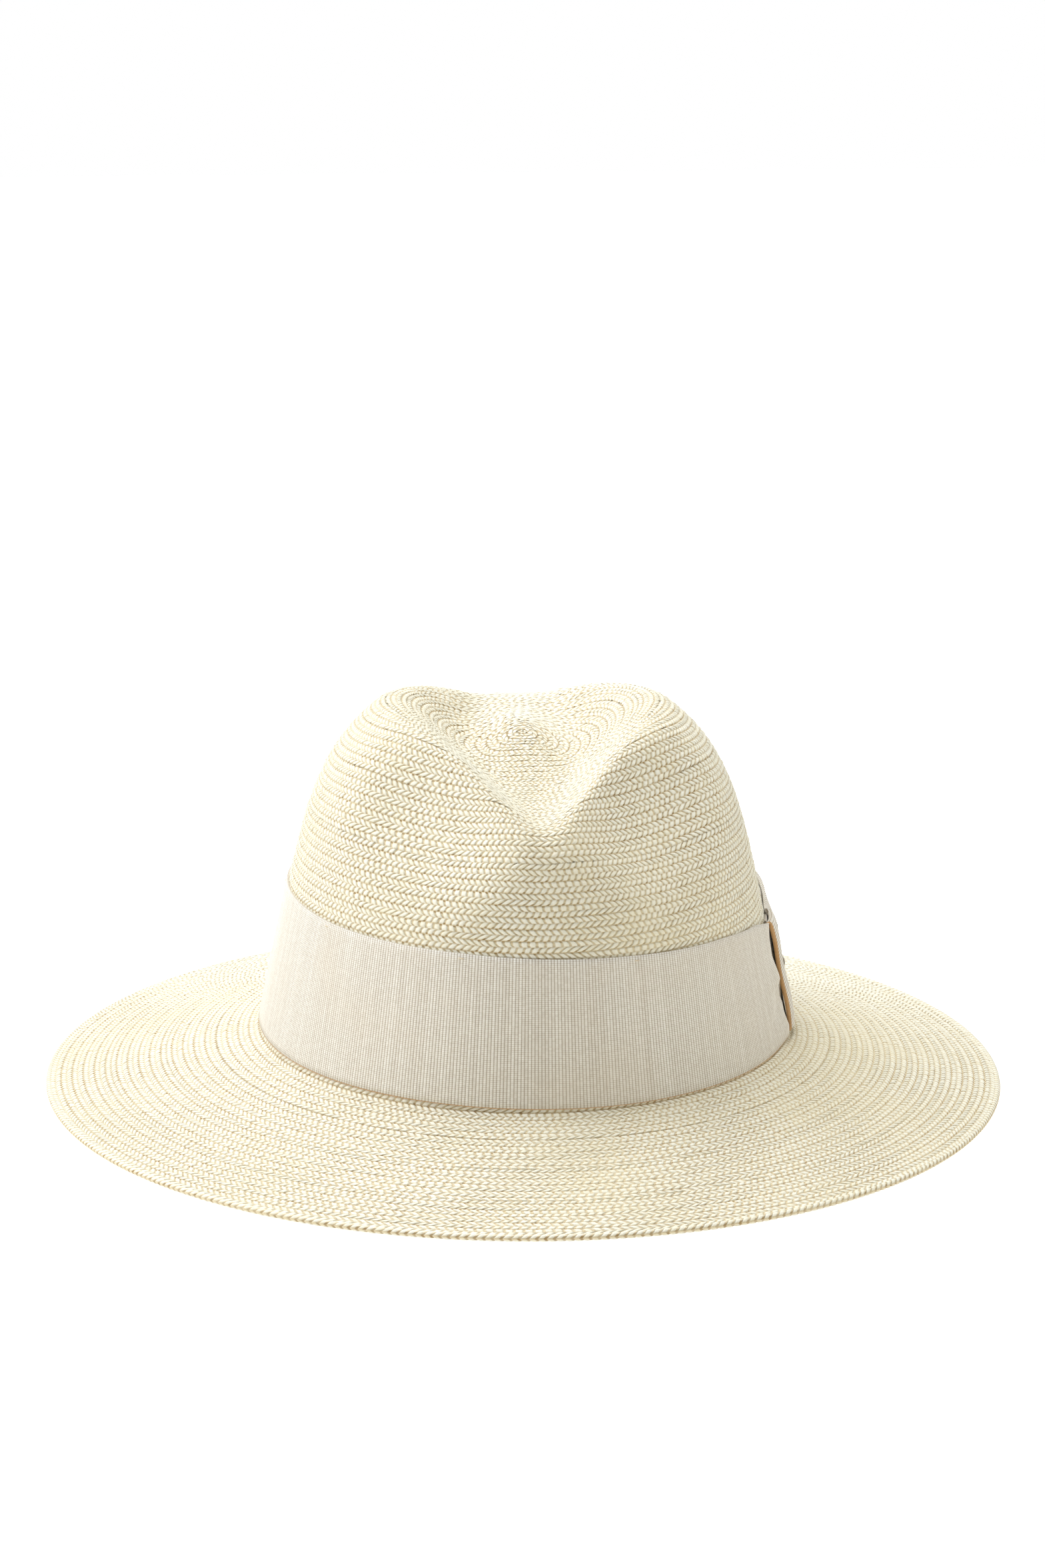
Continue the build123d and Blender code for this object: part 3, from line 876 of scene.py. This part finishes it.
def buildKnot():
    # a strip of ribbon wound up over the band and tucked in above and below; its ribs lie level
    lowZ, highZ = knotBox[0][2] - breakZ, knotBox[1][2] - breakZ - knot["lower"]
    r = (knot["outsideOffset"] - knot["insideOffset"]) / 2
    bends = np.linspace(0, math.pi, 14)
    middleOut = (knot["outsideOffset"] + knot["insideOffset"]) / 2
    startZ, endZ = lowZ + knot["inset"] + r, highZ - knot["inset"] - r
    low = np.stack([middleOut - r * np.cos(bends), startZ - r * np.sin(bends)], axis=-1)
    face = np.linspace(0, 1, 60)[1:-1]
    bulge = knot["bulge"] * np.sin(face * math.pi) + knot["ripple"] * np.sin(face * 9)
    faceOut = knot["outsideOffset"] + bulge
    side = np.stack([faceOut, startZ + face * (endZ - startZ)], axis=-1)
    high = np.stack([middleOut + r * np.cos(bends), endZ + r * np.sin(bends)], axis=-1)
    path = np.concatenate([low, side, high])
    at, outs, heights = ribsAlong(path)
    across = np.linspace(-1, 1, knot["rows"] + 1)[:, None]
    middleY = (knotBox[0][1] + knotBox[1][1]) / 2
    half = (knotBox[1][1] - knotBox[0][1]) / 2
    waist = 1 - knot["waist"] * bell(heights - (lowZ + highZ) / 2, knot["waistReach"])
    y = middleY + across * half * waist[None, :]
    turns = np.vectorize(turnAtSide)(y)
    crown = knot["crown"] * (1 - across ** 2)
    smooth = wallPoint(heights[None, :] + 0 * across, turns, outs[None, :] + crown)
    relief = ribRelief(len(at), len(across))
    # the knot's front edge maps to y 0, where the ribbon group paints the shade of the slit beside it
    mapped = np.stack([at[None, :] + 0 * across, (across + 1) * half + 0 * at[None, :]], axis=-1)
    made = clothShell("bowKnot", smooth[:, ::-1], relief[:, ::-1], knot["thickness"], mapped[:, ::-1], 3,
                      ribbonCloth)
    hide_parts("bow_knot")


wing = {
    "thickness": 0.0006,
    "outer": 0.0026,       # how far the outer layer stands off
    "inner": 0.0016,
    "gather": 0.26,        # share by which it narrows into the knot
    "gatherReach": 0.014,
    "gatherMiddle": 0.46,  # height that it narrows to, as a share of its own
    "underKnot": 0.003,    # length of it that lies under the knot
    "flare": 0.0012,       # height of the pleats beside the knot
    "flareReach": 0.011,
    "shorter": 0.0012,     # than the space it has, at the fold
    "rows": 24,
}


def buildWing():
    # a loop of ribbon folded flat behind the knot
    startY = wingBox[0][1] - wing["underKnot"]
    foldRadius, foldMiddle = (wing["outer"] - wing["inner"]) / 2, (wing["outer"] + wing["inner"]) / 2
    foldY = wingBox[1][1] - foldRadius - wing["shorter"]
    bends = np.linspace(0, math.pi, 12)
    fold = np.stack([foldY + foldRadius * np.sin(bends), foldMiddle + foldRadius * np.cos(bends)], axis=-1)
    straight = np.linspace(startY, foldY, 60)[:-1]
    outerRun = np.stack([straight, np.full_like(straight, wing["outer"])], axis=-1)
    innerRun = np.stack([straight[::-1], np.full_like(straight, wing["inner"])], axis=-1)
    path = np.concatenate([outerRun, fold, innerRun])
    at, y, outs = ribsAlong(path)
    across = np.linspace(0, 1, wing["rows"] + 1)[:, None]
    fromKnot = np.clip(y - startY, 0, None)
    gather = 1 - wing["gather"] * bell(fromKnot, wing["gatherReach"])
    lowZ, highZ = wingBox[0][2] - breakZ, wingBox[1][2] - breakZ
    middle = wing["gatherMiddle"]
    heights = lowZ + (highZ - lowZ) * (middle + (across - middle) * gather[None, :])
    pleat = wing["flare"] * np.cos(across * 5 * math.pi) * bell(fromKnot[None, :], wing["flareReach"])
    turns = np.array([turnAtSide(value) for value in y])
    smooth = wallPoint(heights, turns[None, :] + 0 * across, outs[None, :] + pleat)
    relief = ribRelief(len(at), len(across))
    mapped = np.stack([at[None, :] + 0 * across, across * (highZ - lowZ) + 0 * at[None, :]], axis=-1)
    made = clothShell("bowWing", smooth, relief, wing["thickness"], mapped, 6, ribbonCloth)
    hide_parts("bow_wing")


buildKnot()
buildWing()
print("bow tied")

sweatband = {
    "thickness": 0.0010,
    "clearance": 0.0003,
    "width": 0.032,
    "roll": 0.0006,        # extra thickness of its turned upper edge
    "rollReach": 0.05,     # share of the width that the roll takes
    "wave": 0.00012,       # how far its upper edge waves in and out
    "waves": 23,
    "rows": 16,
    "columns": 480,
}


def buildSweatband():
    turns = np.linspace(0, 1, sweatband["columns"] + 1)[None, :]
    across = np.linspace(0, 1, sweatband["rows"] + 1)[:, None]
    outside = -hatShape["strawThickness"] - sweatband["clearance"]
    height = across * sweatband["width"] * 0.995
    wave = sweatband["wave"] * (1 + np.sin(turns * 2 * math.pi * sweatband["waves"] + across * 2)) * across
    roll = sweatband["roll"] * bell(1 - across, sweatband["rollReach"]) / 2
    faceOut = outside - sweatband["thickness"] - wave - roll
    faceIn = wallPoint(height + 0 * turns, turns, faceOut)
    back = wallPoint(height + 0 * turns, turns, outside + 0 * across)
    rows, columns = faceIn.shape[:2]
    inGrid = np.arange(rows * columns).reshape(rows, columns)
    inGrid[:, -1] = inGrid[:, 0]
    backGrid = inGrid + rows * columns
    lowEdge, highEdge = np.stack([inGrid[0], backGrid[0]]), np.stack([backGrid[-1], inGrid[-1]])
    grids = [inGrid[:, ::-1], backGrid, lowEdge, highEdge]
    quads = np.concatenate([gridCells(grid).reshape(-1, 4) for grid in grids])
    made = makePiece("sweatbandStrip", np.concatenate([faceIn.reshape(-1, 3), back.reshape(-1, 3)]), quads,
                     material=leather)
    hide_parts("sweatband")


buildSweatband()

innerBow = {
    "thickness": 0.0003,
    "waist": 0.45,         # share of its width left under the knot
    "knotHalf": 0.0016,    # half the knot's width
    "knotTall": 0.55,      # share of the bow's height
    "paintedShadeEdge": 0.0004,    # shifts this ribbon's map past the painted shade of the lower edge
    "rows": 8,
}


def buildInnerBow():
    # a figure of eight of narrow ribbon, held by a small knot, over the sweatband's join
    (lowX, lowY, lowZ), (highX, highY, highZ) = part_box("sweatband_bow")
    middleX, middleY, middleZ = (lowX + highX) / 2, (lowY + highY) / 2, (lowZ + highZ) / 2
    deep, tall = (highY - lowY) / 2 - innerBow["thickness"], (highZ - lowZ) / 2
    across = np.linspace(-1, 1, innerBow["rows"] + 1)[:, None]
    around = np.linspace(0, 2 * math.pi, 161)[None, :]
    width = innerBow["waist"] + (1 - innerBow["waist"]) * np.abs(np.sin(around)) ** 0.8
    loops = np.stack([middleX + (highX - lowX) / 2 * 0.97 * np.sin(around) + 0 * across,
                      middleY + deep * 0.7 * np.sin(2 * around) + 0 * across,
                      middleZ + tall * 0.97 * across * width], axis=-1)
    knotRing = np.stack([middleX + innerBow["knotHalf"] * across + 0 * around,
                         middleY + deep * 0.95 * np.cos(around) + 0 * across,
                         middleZ + tall * innerBow["knotTall"] * np.sin(around) + 0 * across], axis=-1)
    for name, smooth in (("sweatbandBow", loops), ("sweatbandBowKnot", knotRing)):
        steps = np.linalg.norm(np.diff(smooth[innerBow["rows"] // 2], axis=0), axis=1)
        along = np.concatenate([[0], np.cumsum(steps)])
        wide = 2 * (tall if name == "sweatbandBow" else innerBow["knotHalf"])
        mapped = np.stack([along[None, :] + 0 * across,
                           (across + 1) / 2 * wide + innerBow["paintedShadeEdge"] + 0 * around], axis=-1)
        made = clothShell(name, smooth, np.zeros(smooth.shape[:2]), innerBow["thickness"], mapped, 4,
                          ribbonCloth)
        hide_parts("sweatband_bow")


tackStitch = {
    "count": 7,
    "fromTurn": 60 / 360,
    "toTurn": 290 / 360,
    "below": 0.0015,       # from the ribbon's upper edge
    "length": 0.0024,
    "radius": 0.0002,
}


def buildTacks():
    # short stitches that hold the ribbon's upper edge on the straw
    run = np.linspace(-1, 1, 13)[:, None]
    about = np.linspace(0, 2 * math.pi, 9)[:-1][None, :]
    verts, quads = [], []
    places = np.linspace(tackStitch["fromTurn"], tackStitch["toTurn"], tackStitch["count"])
    for number, turn in enumerate(places):
        top = float(np.interp(turn, bandEnd["turns"], bandEnd["top"]))
        turns = turn + run * tackStitch["length"] / 2 / ovalLength
        radius = tackStitch["radius"] * np.sqrt(1 - run ** 2 * 0.99)
        out = ribbon["clearance"] + ribbon["thickness"] + 0.0004 - 0.0005 * run ** 4
        points = wallPoint(top - tackStitch["below"] + radius * np.sin(about), turns + 0 * about,
                           out + radius * np.cos(about))
        grid = number * run.size * about.size + np.arange(run.size * about.size)
        grid = grid.reshape(run.size, about.size)
        ahead = np.roll(grid, -1, axis=1)
        quads.append(np.stack([grid[:-1], grid[1:], ahead[1:], ahead[:-1]], axis=-1).reshape(-1, 4))
        verts.append(points.reshape(-1, 3))
    made = makePiece("tackStitches", np.concatenate(verts), np.concatenate(quads), material=sewingThread)
    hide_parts("band_tacks")


buildInnerBow()
buildTacks()
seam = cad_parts["sweatband_stitching"]
seam.data.materials.clear()
seam.data.materials.append(sewingThread)
print("sweatband fitted")

stageLook = {
    "floorSize": 5.0,
    "floorDrop": 0.0002,
    "floorShade": (0.88, 0.88, 0.88, 1),
    "floorLight": (0.92, 0.92, 0.92, 1),
    "floorGlow": 0.30,     # light that the floor gives to the hat
    "ambient": 0.24,       # light that the backdrop gives to the hat
    "shadeTint": (1.0, 0.95, 0.81, 1),
    "seenGlow": 0.80,      # how bright the floor looks on its own
}

floorMaterial, tree, shader = newMaterial("paleFloor", {"Roughness": 0.85, "Specular IOR Level": 0.1})
seen = addNode(tree, "ShaderNodeLightPath").outputs["Is Camera Ray"]
glow = mathNode(tree, "MULTIPLY_ADD", seen, stageLook["seenGlow"] - stageLook["floorGlow"],
                stageLook["floorGlow"])
tree.links.new(glow, shader.inputs["Emission Strength"])
tree.links.new(mixColours(tree, seen, stageLook["shadeTint"], (1, 1, 1, 1)), shader.inputs["Emission Color"])
spread = addNode(tree, "ShaderNodeTexNoise", {"Scale": 3.0, "Detail": 2.0})
tree.links.new(mixColours(tree, spread.outputs["Fac"], stageLook["floorShade"], stageLook["floorLight"]),
               shader.inputs["Base Color"])
half = stageLook["floorSize"] / 2
floorMesh = bpy.data.meshes.new("floor")
floorCorners = [(-half, -half, 0), (half, -half, 0), (half, half, 0), (-half, half, 0)]
floorMesh.from_pydata(floorCorners, [], [(0, 1, 2, 3)])
floorMesh.materials.append(floorMaterial)
floor = bpy.data.objects.new("floor", floorMesh)
floor.location.z = -stageLook["floorDrop"]
bpy.context.scene.collection.objects.link(floor)

# the backdrop is white to look at, and gives only a dim light
world = bpy.data.worlds.new("softStudio")
bpy.context.scene.world = world
world.use_nodes = True
background = world.node_tree.nodes["Background"]
seen = addNode(world.node_tree, "ShaderNodeLightPath").outputs["Is Camera Ray"]
strength = mathNode(world.node_tree, "MULTIPLY_ADD", seen, 1 - stageLook["ambient"], stageLook["ambient"])
world.node_tree.links.new(strength, background.inputs["Strength"])
world.node_tree.links.new(mixColours(world.node_tree, seen, stageLook["shadeTint"], (1, 1, 1, 1)),
                          background.inputs["Color"])

lamps = {
    "overhead": {"place": (-0.30, 0.25, 1.5), "size": 1.6, "power": 29.5, "tint": (1.0, 1.0, 0.98)},
    "left": {"place": (-1.5, 0.15, 0.60), "size": 1.0, "power": 9.6, "tint": (1.0, 1.0, 1.0)},
    "right": {"place": (1.6, 0.0, 0.6), "size": 1.2, "power": 6.0, "tint": (1.0, 0.98, 0.89)},
    "front": {"place": (-0.2, -2.2, 1.0), "size": 1.6, "power": 1.0, "tint": (1.0, 0.93, 0.72)},
}
for name, lamp in lamps.items():
    data = bpy.data.lights.new(name, "AREA")
    data.shape, data.size, data.energy = "SQUARE", lamp["size"], lamp["power"]
    data.color = lamp["tint"]
    light = bpy.data.objects.new(name, data)
    light.location = lamp["place"]
    light.rotation_euler = (Vector(lamp["place"]) - Vector((0, 0, 0.06))).to_track_quat("Z", "Y").to_euler()
    bpy.context.scene.collection.objects.link(light)

cameraView = {
    "distance": 1.65,
    "elevation": 17.2,
    "azimuth": -4.5,
    "aimUp": 3.345,
    "lens": 113.65,
}
azimuth, elevation = math.radians(cameraView["azimuth"]), math.radians(cameraView["elevation"])
cameraData = bpy.data.cameras.new("camera")
cameraData.lens = cameraView["lens"]
cameraData.clip_start, cameraData.clip_end = 0.05, 20
camera = bpy.data.objects.new("camera", cameraData)
camera.location = (cameraView["distance"] * math.sin(azimuth) * math.cos(elevation),
                   -cameraView["distance"] * math.cos(azimuth) * math.cos(elevation),
                   cameraView["distance"] * math.sin(elevation))
camera.rotation_euler = (math.radians(90 - cameraView["elevation"] + cameraView["aimUp"]), 0, azimuth)
bpy.context.scene.collection.objects.link(camera)
bpy.context.scene.camera = camera
bpy.context.scene.view_settings.view_transform = "Standard"
print("stage set")
